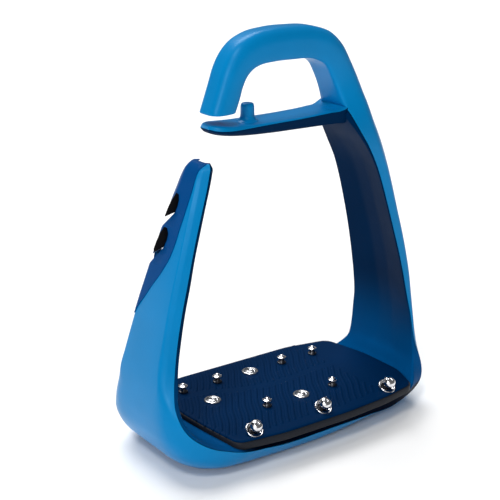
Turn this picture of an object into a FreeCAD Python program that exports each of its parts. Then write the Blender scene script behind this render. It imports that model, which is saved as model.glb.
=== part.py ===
"""Flexible-branch safety stirrup iron, as separate pieces.

X runs across the tread: -X is the flexible outer branch, +X the main branch that
carries the eye.  -Y is the toe side, +Z is up, and the underside rests on Z = 0.
The origin is under the middle of the base.  All sizes are in millimetres.
"""
import FreeCAD
import Part
import math
import os

Vector = FreeCAD.Vector

DIMENSIONS = (
    # whole iron
    ("base_half_width", 68.3),
    ("base_half_depth", 33.6),
    ("base_corner_radius", 22.0),
    ("eye_top", 173.0),
    ("band_depth", 74.0),
    ("cut_reach", 400.0),
    # spring steel strip moulded into the body
    ("core_thickness", 1.8),
    ("core_width", 12.0),
    # seams of the two flexing pieces
    ("branch_seam", 30.0),
    ("gate_seam", 28.0),
    ("seam_gap", 0.3),
    # gate under the eye
    ("gate_width", 17.0),
    ("post_diameter", 5.6),
    ("post_top", 142.2),
    ("post_offset", 14.2),
    # tread plate
    ("carrier_bottom", 10.0),
    ("carrier_thickness", 3.3),
    ("pad_thickness", 1.2),
    ("pad_inset", 0.6),
    ("plate_corner_radius", 4.0),
    ("plate_clearance", 0.15),
    ("plate_seat_height", 8.0),
    # stud grid on the tread
    ("stud_pitch", 17.8),
    ("stud_grid_middle", 2.2),
    ("heel_row", 21.0),
    ("middle_row", -11.3),
    ("toe_row", -27.8),
    ("toe_stud_tilt", 30.0),
    # screws that hold the plate, and the threaded inserts that take them
    ("screw_head_diameter", 7.4),
    ("screw_head_height", 2.5),
    ("screw_shank_diameter", 4.0),
    ("screw_shank_length", 6.6),
    ("screw_recess_depth", 1.0),
    ("insert_diameter", 6.4),
    ("insert_length", 5.0),
    ("insert_bore", 4.1),
    # small studs
    ("stud_diameter", 4.0),
    ("stud_neck_diameter", 2.6),
    ("stud_height", 3.5),
    ("stud_depth", 4.2),
    # large toe-side studs and their cupped washers
    ("toe_stud_diameter", 5.4),
    ("toe_stud_neck_diameter", 3.0),
    ("toe_stud_height", 6.0),
    ("washer_diameter", 7.6),
    ("washer_thickness", 1.4),
    ("washer_bore", 3.2),
    # clearances
    ("running_clearance", 0.1),
    ("fit_clearance", 0.05),
)

doc = FreeCAD.newDocument("stirrup_iron")
sheet = doc.addObject("Spreadsheet::Sheet", "sizes")
for row, (alias, value) in enumerate(DIMENSIONS, start=1):
    sheet.set("A%d" % row, alias)
    sheet.set("B%d" % row, str(value))
    sheet.setAlias("B%d" % row, alias)
doc.recompute()

sub_parts = []


def size(alias):
    """A driving dimension, read from the sheet."""
    return float(sheet.get(alias))


# Stud and screw centres on the tread, (X, Y).
PITCH = size("stud_pitch")
MIDDLE = size("stud_grid_middle")
HEEL_ROW = size("heel_row")
MIDDLE_ROW = size("middle_row")
MIDDLE_STUD_SHIFT = 3.5
TOE_STUD_SHIFT = 2.3
MIDDLE_SCREW_SHIFT = 4.0
SIDE_SCREW = (-28.1, 6.2)
STUD_CENTRES = [(MIDDLE + step * PITCH, HEEL_ROW) for step in (-2, -1, 1, 2)]
STUD_CENTRES += [(MIDDLE + MIDDLE_STUD_SHIFT + side * PITCH, MIDDLE_ROW) for side in (-1, 1)]
TOE_STUD_CENTRES = [
    (MIDDLE + TOE_STUD_SHIFT + step * 2 * PITCH, size("toe_row")) for step in (-1, 0, 1)]
SCREW_CENTRES = [SIDE_SCREW, (MIDDLE, HEEL_ROW), (MIDDLE + MIDDLE_SCREW_SHIFT, MIDDLE_ROW)]


# ---------------------------------------------------------------- sketch helpers

def new_body(name):
    return doc.addObject("PartDesign::Body", name)


def sketch_on(body, name, plane_role, geometry):
    """A sketch on one of the body's own origin planes."""
    plane = next(item for item in body.Origin.OriginFeatures if item.Role == plane_role)
    sketch = body.newObject("Sketcher::SketchObject", name)
    sketch.AttachmentSupport = [(plane, "")]
    sketch.MapMode = "FlatFace"
    for piece in geometry:
        sketch.addGeometry(piece, False)
    return sketch


def flat(points):
    return [Vector(first, second, 0) for first, second in points]


def line(start, end):
    return Part.LineSegment(Vector(start[0], start[1], 0), Vector(end[0], end[1], 0))


def curve(points):
    """A smooth curve through the points."""
    spline = Part.BSplineCurve()
    spline.interpolate(flat(points))
    return spline


def polygon(points):
    """Straight sides through the points, closed."""
    return [line(a, b) for a, b in zip(points, points[1:] + points[:1])]


def circle(centre, radius):
    return Part.Circle(Vector(centre[0], centre[1], 0), Vector(0, 0, 1), radius)


def offset_points(points, distance):
    """The points moved sideways, to the left of the way they run."""
    spline = curve(points)
    moved = []
    for first, second in points:
        tangent = spline.tangent(spline.parameter(Vector(first, second, 0)))[0]
        moved.append((first - tangent.y * distance, second + tangent.x * distance))
    return moved


def rounded_outline(points, radius):
    """A closed outline of straight sides with every corner rounded."""
    corners = []
    count = len(points)
    for index, point in enumerate(points):
        here = Vector(point[0], point[1], 0)
        before = Vector(*points[index - 1], 0) - here
        after = Vector(*points[(index + 1) % count], 0) - here
        half_angle = before.getAngle(after) / 2
        reach = radius / math.tan(half_angle)
        before.normalize()
        after.normalize()
        bisector = (before + after).normalize()
        middle = here + bisector * (radius / math.sin(half_angle) - radius)
        corners.append((here + before * reach, middle, here + after * reach))
    pieces = []
    for index, (start, middle, end) in enumerate(corners):
        pieces.append(Part.Arc(start, middle, end))
        pieces.append(Part.LineSegment(end, corners[(index + 1) % count][0]))
    return pieces


# --------------------------------------------------------------- feature helpers

def pad(body, sketch, expression, symmetric=False):
    feature = body.newObject("PartDesign::Pad", sketch.Name + "_pad")
    feature.Profile = sketch
    if symmetric:
        feature.SideType = "Symmetric"
    feature.setExpression("Length", expression)
    body.Tip = feature
    doc.recompute()
    return feature


def pocket(body, sketch, expression, symmetric=False):
    """A pocket, which has to take something off the body."""
    volume = body.Shape.Volume
    feature = body.newObject("PartDesign::Pocket", sketch.Name + "_pocket")
    feature.Profile = sketch
    if symmetric:
        feature.SideType = "Symmetric"
    feature.setExpression("Length", expression)
    body.Tip = feature
    doc.recompute()
    if body.Shape.Volume >= volume:
        raise RuntimeError(feature.Name + " removes nothing")
    return feature


def revolve(body, sketch):
    axis = next(item for item in body.Origin.OriginFeatures if item.Role == "Z_Axis")
    feature = body.newObject("PartDesign::Revolution", sketch.Name + "_turned")
    feature.Profile = sketch
    feature.ReferenceAxis = (axis, [""])
    feature.Angle = 360
    body.Tip = feature
    doc.recompute()
    return feature


def register(piece, label):
    """Marks a document object as a finished sub-part with its own name."""
    piece.Label = label
    sub_parts.append(piece)
    return piece


def cut(name, base, tool):
    feature = doc.addObject("Part::Cut", name)
    feature.Base = base
    feature.Tool = tool
    doc.recompute()
    return feature


def common(name, base, tool):
    feature = doc.addObject("Part::Common", name)
    feature.Base = base
    feature.Tool = tool
    doc.recompute()
    return feature


# ------------------------------------------------- outlines seen from the toe side

EYE_TOP = size("eye_top")
SEAM = size("branch_seam")
BELOW_BASE = -2.0
ABOVE_EYE = EYE_TOP + 5.0
GATE_SEAM = size("gate_seam")

# Outer face of the body: down the outer foot, along the base, up the main branch.
FOOT_OUTER = (
    (-67.9, SEAM),
    (-68.3, 21.5),
    (-65.9, 12.0),
    (-60.2, 5.0),
    (-51.5, 1.0),
    (-46.0, 0.2),
    (-42.0, 0.0),
)
BRANCH_OUTER = (
    (43.0, 0.0),
    (47.5, 0.2),
    (53.5, 1.3),
    (61.8, 5.8),
    (66.7, 13.0),
    (68.3, 22.5),
    (68.0, 35.0),
    (66.4, 51.0),
    (62.3, 71.0),
    (57.0, 92.0),
    (50.0, 114.0),
    (43.0, 133.0),
    (36.0, 150.0),
    (29.5, 162.0),
    (22.0, 169.0),
    (13.0, 172.3),
    (3.0, EYE_TOP),
)
HOOK_OUTER = (
    (-8.0, EYE_TOP),
    (-17.5, 171.4),
    (-24.4, 167.2),
    (-28.8, 161.0),
    (-32.2, 152.0),
    (-35.6, 141.8),
)
# Inner side of the eye, from the hook's end round to the main branch.
HOOK_INNER = ((-24.4, 141.8), (-21.8, 148.0), (-18.9, 154.0), (-15.0, 157.6), (-8.5, 158.9))
WINDOW_SIDE = ((13.5, 159.2), (17.6, 157.8), (20.4, 153.4), (23.0, 147.0), (25.9, 137.4))
# Where the light body meets the dark liner.
BRANCH_MIDDLE = (
    (GATE_SEAM, 137.4),
    (33.5, 130.5),
    (40.8, 119.5),
    (48.6, 102.0),
    (55.6, 81.0),
    (60.6, 62.0),
    (63.6, 44.0),
    (64.6, 28.0),
    (62.8, 14.5),
    (56.5, 6.6),
    (46.0, 4.5),
)
FOOT_MIDDLE = ((-25.0, 4.5), (-38.0, 5.6), (-49.0, 9.0), (-56.6, 15.5), (-60.3, 23.0), (-60.6, SEAM))
# Inner face of the liner.
FOOT_INNER = ((-58.4, SEAM), (-57.8, 23.0), (-54.0, 16.6), (-48.0, 12.0), (-40.0, 10.0))
COVE = ((57.0, 10.0), (59.8, 14.3), (62.2, 18.8))
BRANCH_INNER = (
    (62.2, 18.8),
    (61.9, 30.0),
    (60.4, 46.0),
    (57.0, 63.0),
    (52.4, 80.0),
    (46.2, 99.5),
    (38.6, 116.5),
    (32.0, 126.0),
    (GATE_SEAM, 130.4),
)

# Half depth (Y) of the body at each height.
BODY_DEPTH = (
    (23.5, 0.0),
    (30.2, 4.8),
    (33.6, 11.0),
    (31.6, 16.5),
    (26.0, 23.0),
    (21.6, SEAM),
    (19.4, 41.0),
    (17.5, 60.0),
    (15.7, 82.0),
    (14.8, 102.0),
    (14.6, 120.0),
    (11.6, 133.0),
    (8.2, 144.0),
    (7.0, 155.0),
)


def depth_cutters(profile, low, high, outside):
    """Both regions beyond a half-depth profile, on the plane seen from the side."""
    geometry = []
    for side in (1, -1):
        edge = [(side * half, height) for half, height in profile]
        first = edge[0]
        last = edge[-1]
        geometry.append(curve(edge))
        route = [last, (last[0], high), (side * outside, high), (side * outside, low)]
        route += [(first[0], low), first]
        geometry += [line(a, b) for a, b in zip(route, route[1:])]
    return geometry


def corner_cutters():
    """The four plan corners outside the base's corner radius."""
    width = size("base_half_width")
    depth = size("base_half_depth")
    radius = size("base_corner_radius")
    middle = radius * (1 - math.sqrt(0.5))
    beyond = 5.0
    geometry = []
    for sx in (1, -1):
        for sy in (1, -1):
            start = (sx * (width - radius), sy * depth)
            end = (sx * width, sy * (depth - radius))
            halfway = Vector(sx * (width - middle), sy * (depth - middle), 0)
            geometry.append(Part.Arc(Vector(*start, 0), halfway, Vector(*end, 0)))
            route = [
                end,
                (sx * (width + beyond), end[1]),
                (sx * (width + beyond), sy * (depth + beyond)),
                (start[0], sy * (depth + beyond)),
                start,
            ]
            geometry += [line(a, b) for a, b in zip(route, route[1:])]
    return geometry


def shaped_band(name, outline, profile, low, high):
    """A band padded across the depth, then trimmed to its half-depth profile."""
    beyond = 6.0
    outside = size("base_half_depth") + beyond
    body = new_body(name)
    pad(body, sketch_on(body, name + "_front", "XZ_Plane", outline), "sizes.band_depth", True)
    side = sketch_on(body, name + "_side", "YZ_Plane", depth_cutters(profile, low, high, outside))
    pocket(body, side, "sizes.cut_reach", True)
    return body


PLATE_OUTLINE = (
    (-41.5, -31.4),
    (-20.0, -34.7),
    (14.0, -35.1),
    (36.0, -33.4),
    (53.8, -29.9),
    (59.4, -15.0),
    (59.4, 8.0),
    (55.0, 30.5),
    (34.0, 34.6),
    (-30.0, 34.6),
    (-41.5, 28.0),
    (-45.0, 6.0),
    (-44.0, -10.0),
)


def inset_outline(distance):
    """The plate outline drawn in by a distance towards its middle."""
    centre = (7.0, -1.5)
    pulled = []
    for first, second in PLATE_OUTLINE:
        reach = math.hypot(first - centre[0], second - centre[1])
        share = 1 - distance / reach
        pulled.append((centre[0] + (first - centre[0]) * share, centre[1] + (second - centre[1]) * share))
    return pulled


# -------------------------------------------------------------- body, core, liner

def make_core():
    """The spring steel strip: along the base, up the main branch and over the eye."""
    inset = 1.5
    eye_inset = 5.0
    thickness = size("core_thickness")
    branch = offset_points(BRANCH_OUTER[:11], inset)
    shoulder = offset_points(BRANCH_OUTER[11:15], eye_inset)
    bar = [(-3.0, EYE_TOP - eye_inset)]
    hook = offset_points(HOOK_OUTER[2:5], eye_inset)
    outer = branch + shoulder + bar + hook
    inner = offset_points(outer, thickness)
    start = (-40.0, inset)
    outline = [
        line(start, outer[0]),
        curve(outer),
        line(outer[-1], inner[-1]),
        curve(inner[::-1]),
        line(inner[0], (start[0], inner[0][1])),
        line((start[0], inner[0][1]), start),
    ]
    body = new_body("core")
    pad(body, sketch_on(body, "core_front", "XZ_Plane", outline), "sizes.core_width", True)
    return register(body, "spring_steel_core")


def make_body_shell(core):
    """The light body: base, main branch and eye, moulded round the steel strip."""
    outline = [
        curve(FOOT_OUTER),
        line(FOOT_OUTER[-1], BRANCH_OUTER[0]),
        curve(BRANCH_OUTER),
        line(BRANCH_OUTER[-1], HOOK_OUTER[0]),
        curve(HOOK_OUTER),
        line(HOOK_OUTER[-1], HOOK_INNER[0]),
        curve(HOOK_INNER),
        line(HOOK_INNER[-1], WINDOW_SIDE[0]),
        curve(WINDOW_SIDE),
        line(WINDOW_SIDE[-1], BRANCH_MIDDLE[0]),
        curve(BRANCH_MIDDLE),
        line(BRANCH_MIDDLE[-1], FOOT_MIDDLE[0]),
        curve(FOOT_MIDDLE),
        line(FOOT_MIDDLE[-1], FOOT_OUTER[0]),
    ]
    blank = shaped_band("shell_blank", outline, BODY_DEPTH, BELOW_BASE, ABOVE_EYE)
    corners = sketch_on(blank, "shell_corners", "XY_Plane", corner_cutters())
    pocket(blank, corners, "sizes.cut_reach", True)
    return register(cut("shell_with_core_slot", blank, core), "body_shell")


def make_inner_liner():
    """The dark soft liner on the inner face, under the tread and up the outer foot."""
    outline = [
        line(FOOT_MIDDLE[-1], FOOT_INNER[0]),
        curve(FOOT_INNER),
        line(FOOT_INNER[-1], COVE[0]),
        line(COVE[0], COVE[1]),
        line(COVE[1], COVE[2]),
        curve(BRANCH_INNER),
        line(BRANCH_INNER[-1], BRANCH_MIDDLE[0]),
        curve(BRANCH_MIDDLE),
        line(BRANCH_MIDDLE[-1], FOOT_MIDDLE[0]),
        curve(FOOT_MIDDLE),
    ]
    body = shaped_band("liner", outline, BODY_DEPTH, BELOW_BASE, ABOVE_EYE)
    corners = sketch_on(body, "liner_corners", "XY_Plane", corner_cutters())
    pocket(body, corners, "sizes.cut_reach", True)
    radius = size("insert_diameter") / 2 + size("fit_clearance")
    bores = sketch_on(body, "liner_bores", "XY_Plane", [circle(at, radius) for at in SCREW_CENTRES])
    pocket(body, bores, "sizes.carrier_bottom * 2", True)
    recess = rounded_outline(inset_outline(-size("plate_clearance")), size("plate_corner_radius"))
    seat = sketch_on(body, "liner_plate_seat", "XY_Plane", recess)
    seat.setExpression("AttachmentOffset.Base.z", "sizes.carrier_bottom + sizes.plate_seat_height")
    pocket(body, seat, "sizes.plate_seat_height")
    return register(body, "inner_liner")


# ---------------------------------------------------------------- flexible pieces

BRANCH_FOOT = SEAM + size("seam_gap")
BELOW_BRANCH = 20.0
ABOVE_TIP = 130.0
OUTER_FACE = (
    (-67.9, BRANCH_FOOT),
    (-65.6, 44.0),
    (-60.2, 65.5),
    (-54.6, 84.5),
    (-48.2, 104.0),
    (-43.4, 117.5),
)
OUTER_MIDDLE = (
    (-60.6, BRANCH_FOOT),
    (-59.0, 43.0),
    (-54.0, 64.5),
    (-48.8, 84.5),
    (-43.0, 104.0),
    (-38.8, 117.5),
)
OUTER_INNER = (
    (-58.4, BRANCH_FOOT),
    (-56.8, 43.0),
    (-52.0, 64.5),
    (-46.8, 84.5),
    (-41.1, 104.0),
    (-37.0, 117.5),
)
TIP_OUTER = (-41.6, 122.4)
TIP_MIDDLE = (-38.4, 122.8)
TIP_INNER = (-36.8, 121.9)
OUTER_DEPTH = (
    (21.4, BRANCH_FOOT),
    (18.2, 37.0),
    (16.0, 48.0),
    (14.2, 64.0),
    (12.4, 84.0),
    (10.8, 102.0),
    (9.2, 114.0),
    (7.4, 122.8),
)


def make_outer_branch():
    """The flexible outer branch, its liner, its tip cover and the two gill inserts."""
    shell_outline = [
        curve(OUTER_FACE),
        line(OUTER_FACE[-1], TIP_OUTER),
        line(TIP_OUTER, TIP_MIDDLE),
        line(TIP_MIDDLE, OUTER_MIDDLE[-1]),
        curve(OUTER_MIDDLE[::-1]),
        line(OUTER_MIDDLE[0], OUTER_FACE[0]),
    ]
    liner_outline = [
        curve(OUTER_MIDDLE),
        line(OUTER_MIDDLE[-1], TIP_MIDDLE),
        line(TIP_MIDDLE, TIP_INNER),
        line(TIP_INNER, OUTER_INNER[-1]),
        curve(OUTER_INNER[::-1]),
        line(OUTER_INNER[0], OUTER_MIDDLE[0]),
    ]
    shell = shaped_band("outer_shell", shell_outline, OUTER_DEPTH, BELOW_BRANCH, ABOVE_TIP)
    liner = shaped_band("outer_liner", liner_outline, OUTER_DEPTH, BELOW_BRANCH, ABOVE_TIP)

    cover_tool = make_cover_tool()
    gill_tools = [make_gill_prism("gill_tool_%d" % number, number, 0.0) for number in (0, 1)]
    gills = doc.addObject("Part::MultiFuse", "gill_tools")
    gills.Shapes = gill_tools
    doc.recompute()

    cover_blank = common("cover_blank", shell, cover_tool)
    cover = cut("cover_with_slots", cover_blank, gills)
    bare = cut("outer_shell_under_cover", shell, cover_tool)
    branch = cut("outer_shell_with_slots", bare, gills)
    register(branch, "outer_branch")
    register(liner, "outer_branch_liner")
    register(cover, "outer_branch_tip_cover")
    for number, label in enumerate(("upper_gill_insert", "lower_gill_insert")):
        prism = make_gill_prism("gill_prism_%d" % number, number, size("fit_clearance"))
        register(common("gill_%d" % number, shell, prism), label)


def make_cover_tool():
    """The skin of the outer face that the tip cover takes up."""
    skin = 2.2
    beyond = 2.0
    along = OUTER_FACE[2:] + (TIP_OUTER,)
    inner = offset_points(along, -skin)
    outer = offset_points(along, beyond)
    outline = [
        curve(outer),
        line(outer[-1], (-39.0, 126.0)),
        line((-39.0, 126.0), inner[-1]),
        curve(inner[::-1]),
        line(inner[0], outer[0]),
    ]
    body = new_body("cover_tool")
    pad(body, sketch_on(body, "cover_front", "XZ_Plane", outline), "sizes.base_half_depth", True)
    below = [(30.0, 55.0), (30.0, 63.0), (10.0, 63.0), (2.0, 74.0), (-4.0, 84.0), (-6.2, 96.0)]
    below += [(-4.6, 118.0), (-4.6, 130.0), (-30.0, 130.0), (-30.0, 55.0)]
    pocket(body, sketch_on(body, "cover_side", "YZ_Plane", polygon(below)), "sizes.cut_reach", True)
    return body


# Each gill insert: (Y, Z) of its top, its bulge towards the toe and its lower end, and
# the X of its inner side.
GILLS = (
    ((2.8, 109.9), (-0.2, 105.4), (6.3, 100.2), -45.4),
    ((4.9, 96.3), (1.2, 92.2), (7.6, 86.2), -49.6),
)


def make_gill_prism(name, number, clearance):
    """A lens-shaped prism through the outer face, for a gill insert or its slot."""
    thickness = 7.0
    top, bulge, bottom, inner_side = GILLS[number]
    middle = Vector((top[0] + bulge[0] + bottom[0]) / 3, (top[1] + bulge[1] + bottom[1]) / 3, 0)
    points = []
    for corner in (top, bulge, bottom):
        towards = middle - Vector(corner[0], corner[1], 0)
        points.append(Vector(corner[0], corner[1], 0) + towards.normalize() * clearance)
    outline = [Part.Arc(*points), Part.LineSegment(points[2], points[0])]
    body = new_body(name)
    sketch = sketch_on(body, name + "_side", "YZ_Plane", outline)
    pad(body, sketch, "%g" % (thickness - clearance))
    body.Placement.Base = Vector(inner_side - thickness, 0, 0)
    doc.recompute()
    return body


def make_gate():
    """The flexible lower bar of the eye, with the post that keeps the leather in."""
    hinge_end = GATE_SEAM - size("seam_gap")
    top = ((hinge_end, 135.9), (6.0, 135.2), (-18.0, 134.9), (-31.0, 135.4), (-38.0, 136.3))
    under = ((-38.0, 135.6), (-32.0, 133.1), (-23.0, 131.4), (-4.0, 130.5), (hinge_end, 130.4))
    outline = [
        curve(top),
        line(top[-1], under[0]),
        curve(under),
        line(under[-1], top[0]),
    ]
    body = new_body("gate")
    pad(body, sketch_on(body, "gate_front", "XZ_Plane", outline), "sizes.gate_width", True)
    half = size("gate_width") / 2
    nose_start = -31.0
    nose_end = -39.0
    nose_half = half * 0.35
    outside = half + 2.0
    geometry = []
    for side in (1, -1):
        points = [(nose_end, side * nose_half), (nose_start, side * half)]
        points += [(nose_start, side * outside), (nose_end, side * outside)]
        geometry += polygon(points)
    pocket(body, sketch_on(body, "gate_nose", "XY_Plane", geometry), "sizes.cut_reach", True)
    post = circle((-size("post_offset"), 0.0), size("post_diameter") / 2)
    foot = 132.0
    sketch = sketch_on(body, "gate_post", "XY_Plane", [post])
    sketch.AttachmentOffset = FreeCAD.Placement(Vector(0, 0, foot), FreeCAD.Rotation())
    pad(body, sketch, "sizes.post_top - %g" % foot)
    return register(body, "leather_gate")


# ------------------------------------------------------------------- tread plate

def make_toe_stud_seats():
    """Slanted holes for the toe studs' shanks, and slanted seats for their washers."""
    reach = 8.0
    fit = size("fit_clearance")
    drills = (
        (size("toe_stud_neck_diameter") / 2 + fit, -reach, reach),
        (size("washer_diameter") / 2 + size("running_clearance"), 0.0, reach),
    )
    tools = []
    for centre in TOE_STUD_CENTRES:
        for radius, start, length in drills:
            tool = doc.addObject("Part::Cylinder", "toe_seat")
            tool.Radius = radius
            tool.Height = length
            tool.Placement = tilted_placement(centre).multiply(
                FreeCAD.Placement(Vector(0, 0, start), FreeCAD.Rotation()))
            tools.append(tool)
    seats = doc.addObject("Part::MultiFuse", "toe_seats")
    seats.Shapes = tools
    doc.recompute()
    return seats


def tilted_placement(centre):
    """On the tread at a toe stud, leaning towards the toe."""
    top = size("carrier_bottom") + size("carrier_thickness") + size("pad_thickness")
    lean = FreeCAD.Rotation(Vector(1, 0, 0), size("toe_stud_tilt"))
    return FreeCAD.Placement(Vector(centre[0], centre[1], top), lean)


def make_carrier(toe_seats):
    """The hard plate under the grip: recesses and holes for screws, holes for studs."""
    body = new_body("carrier")
    outline = rounded_outline(list(PLATE_OUTLINE), size("plate_corner_radius"))
    pad(body, sketch_on(body, "carrier_outline", "XY_Plane", outline), "sizes.carrier_thickness")
    clearance = size("running_clearance")
    fit = size("fit_clearance")
    holes = [circle(at, size("screw_shank_diameter") / 2 + clearance) for at in SCREW_CENTRES]
    holes += [circle(at, size("stud_neck_diameter") / 2 + fit) for at in STUD_CENTRES]
    pocket(body, sketch_on(body, "carrier_holes", "XY_Plane", holes), "sizes.cut_reach", True)
    recess = [circle(at, size("screw_head_diameter") / 2 + clearance) for at in SCREW_CENTRES]
    sketch = sketch_on(body, "carrier_recess", "XY_Plane", recess)
    sketch.setExpression("AttachmentOffset.Base.z", "sizes.carrier_thickness")
    pocket(body, sketch, "sizes.screw_recess_depth")
    body.setExpression("Placement.Base.z", "sizes.carrier_bottom")
    return register(cut("carrier_with_seats", body, toe_seats), "tread_carrier")


def make_grip_pad(toe_seats):
    """The ribbed grip on top of the carrier."""
    body = new_body("grip_pad")
    outline = rounded_outline(inset_outline(size("pad_inset")), size("plate_corner_radius"))
    pad(body, sketch_on(body, "pad_outline", "XY_Plane", outline), "sizes.pad_thickness")
    clearance = size("running_clearance")
    holes = [circle(at, size("screw_head_diameter") / 2 + clearance) for at in SCREW_CENTRES]
    holes += [circle(at, size("stud_neck_diameter") / 2 + clearance) for at in STUD_CENTRES]
    pocket(body, sketch_on(body, "pad_holes", "XY_Plane", holes), "sizes.cut_reach", True)
    body.setExpression("Placement.Base.z", "sizes.carrier_bottom + sizes.carrier_thickness")
    return register(cut("pad_with_seats", body, toe_seats), "tread_grip_pad")


def turned(label, geometry, centre, height_expression):
    """A turned piece about its own Z axis, stood on the tread."""
    body = new_body(label)
    revolve(body, sketch_on(body, label + "_profile", "XZ_Plane", geometry))
    body.Placement.Base = Vector(centre[0], centre[1], 0)
    body.setExpression("Placement.Base.z", height_expression)
    return register(body, label)


TREAD_TOP = "sizes.carrier_bottom + sizes.carrier_thickness + sizes.pad_thickness"


def make_small_studs():
    """Small studs: a neck through the plate, a flared collar and a pointed crown."""
    neck = size("stud_neck_diameter") / 2
    rim = size("stud_diameter") / 2
    height = size("stud_height")
    depth = size("stud_depth")
    profile = [
        (0.0, -depth),
        (neck, -depth),
        (neck, height * 0.45),
        (rim, height * 0.55),
        (rim, height * 0.72),
        (rim * 0.45, height * 0.86),
        (rim * 0.35, height),
        (0.0, height),
    ]
    for number, centre in enumerate(STUD_CENTRES, start=1):
        turned("tread_stud_%d" % number, polygon(profile), centre, TREAD_TOP)


def make_toe_studs():
    """Large toe-side studs with a domed head, each standing in a cupped washer."""
    neck = size("toe_stud_neck_diameter") / 2
    rim = size("toe_stud_diameter") / 2
    height = size("toe_stud_height")
    depth = size("stud_depth")
    shoulder = height * 0.48
    side = height * 0.72
    rise = height - side
    dome_radius = (rim * rim + rise * rise) / (2 * rise)
    pit = 0.5
    dome = []
    for reach in (rim, rim * 0.6, pit):
        level = height - dome_radius + math.sqrt(dome_radius * dome_radius - reach * reach)
        dome.append(Vector(reach, level, 0))
    outer = size("washer_diameter") / 2
    bore = size("washer_bore") / 2
    thickness = size("washer_thickness")
    floor = 0.4
    cup = [
        (bore, 0.0),
        (outer - 0.5, 0.0),
        (outer, floor),
        (outer, thickness),
        (outer - 0.7, thickness),
        (outer - 1.3, floor),
        (bore, floor),
    ]
    for number, centre in enumerate(TOE_STUD_CENTRES, start=1):
        profile = [
            line((0.0, -depth), (neck, -depth)),
            line((neck, -depth), (neck, shoulder)),
            line((neck, shoulder), (rim, shoulder + 0.6)),
            line((rim, shoulder + 0.6), (rim, side)),
            Part.Arc(*dome),
            line((pit, dome[2].y), (pit, height - 2 * pit)),
            line((pit, height - 2 * pit), (0.0, height - 2 * pit)),
            line((0.0, height - 2 * pit), (0.0, -depth)),
        ]
        stud = turned("toe_stud_%d" % number, profile, centre, TREAD_TOP)
        washer = turned("toe_stud_washer_%d" % number, polygon(cup), centre, TREAD_TOP)
        for piece in (stud, washer):
            piece.Placement = tilted_placement(centre)


def make_screws():
    """Raised-head screws through the plate, and the threaded inserts in the liner."""
    head = size("screw_head_diameter") / 2
    shank = size("screw_shank_diameter") / 2
    height = size("screw_head_height")
    length = size("screw_shank_length")
    socket = 1.3
    socket_depth = 1.2
    crown = [
        (0.0, -length),
        (shank, -length),
        (shank, 0.0),
        (head, 0.0),
        (head, height - 0.5),
        (head - 0.9, height),
        (socket, height),
        (socket, height - socket_depth),
        (0.0, height - socket_depth),
    ]
    outer = size("insert_diameter") / 2
    bore = size("insert_bore") / 2
    insert_length = size("insert_length")
    sleeve = [(bore, 0.0), (outer, 0.0), (outer, insert_length), (bore, insert_length)]
    seat = "sizes.carrier_bottom + sizes.carrier_thickness - sizes.screw_recess_depth"
    lower_end = "sizes.carrier_bottom - sizes.insert_length"
    for number, centre in enumerate(SCREW_CENTRES, start=1):
        turned("tread_screw_%d" % number, polygon(crown), centre, seat)
        turned("threaded_insert_%d" % number, polygon(sleeve), centre, lower_end)


# ---------------------------------------------------------------------- assembly

def check_document():
    """Every object has to have recomputed, and every sub-part has to be a sound solid."""
    for item in doc.Objects:
        if "Invalid" in item.State or "Error" in item.State:
            raise RuntimeError("%s failed: %s" % (item.Name, item.State))
    for piece in sub_parts:
        shape = piece.Shape
        if shape.isNull() or not shape.isValid() or not shape.Solids:
            raise RuntimeError(piece.Label + " is not a sound solid")


def export_sub_parts():
    os.makedirs("parts", exist_ok=True)
    for piece in sub_parts:
        piece.Shape.exportStep("parts/%s.step" % piece.Label)
        box = piece.Shape.BoundBox
        print("%-26s %2d solid  X %7.2f %7.2f  Y %7.2f %7.2f  Z %7.2f %7.2f" % (
            piece.Label, len(piece.Shape.Solids),
            box.XMin, box.XMax, box.YMin, box.YMax, box.ZMin, box.ZMax))


steel_core = make_core()
make_body_shell(steel_core)
make_inner_liner()
make_outer_branch()
make_gate()
seats = make_toe_stud_seats()
make_carrier(seats)
make_grip_pad(seats)
make_small_studs()
make_toe_studs()
make_screws()
doc.recompute()
check_document()
export_sub_parts()
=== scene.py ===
"""The looks of the flexible-branch safety stirrup iron, built around its CAD frame.

Sizes below are in millimetres, in the frame of the CAD model: +X runs across the tread
towards the main branch, -Y is the toe side and +Z is up.
"""

import math

import bmesh
import bpy
import numpy as np
from mathutils import Matrix, Vector


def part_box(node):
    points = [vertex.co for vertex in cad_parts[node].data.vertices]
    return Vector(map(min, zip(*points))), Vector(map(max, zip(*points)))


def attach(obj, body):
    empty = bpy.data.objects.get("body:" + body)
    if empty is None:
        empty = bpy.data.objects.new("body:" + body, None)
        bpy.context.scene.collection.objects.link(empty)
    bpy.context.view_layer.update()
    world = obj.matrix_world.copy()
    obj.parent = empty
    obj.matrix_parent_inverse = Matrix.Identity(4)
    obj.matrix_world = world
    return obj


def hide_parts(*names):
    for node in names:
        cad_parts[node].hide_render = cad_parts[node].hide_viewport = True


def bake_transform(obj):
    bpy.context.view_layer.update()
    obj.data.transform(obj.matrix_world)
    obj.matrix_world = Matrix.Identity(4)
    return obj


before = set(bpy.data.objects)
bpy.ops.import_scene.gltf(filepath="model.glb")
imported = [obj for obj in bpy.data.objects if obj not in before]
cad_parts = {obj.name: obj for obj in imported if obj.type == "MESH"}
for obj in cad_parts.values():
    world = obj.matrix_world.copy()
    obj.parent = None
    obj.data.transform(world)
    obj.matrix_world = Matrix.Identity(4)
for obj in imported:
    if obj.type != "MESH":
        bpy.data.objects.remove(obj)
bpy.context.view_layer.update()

MM = 0.001
FRAME_BODY = "iron_frame"
BRANCH_BODY = "flexible_branch"
GATE_BODY = "eye_gate"


# ------------------------------------------------------------------ mesh helpers

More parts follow.
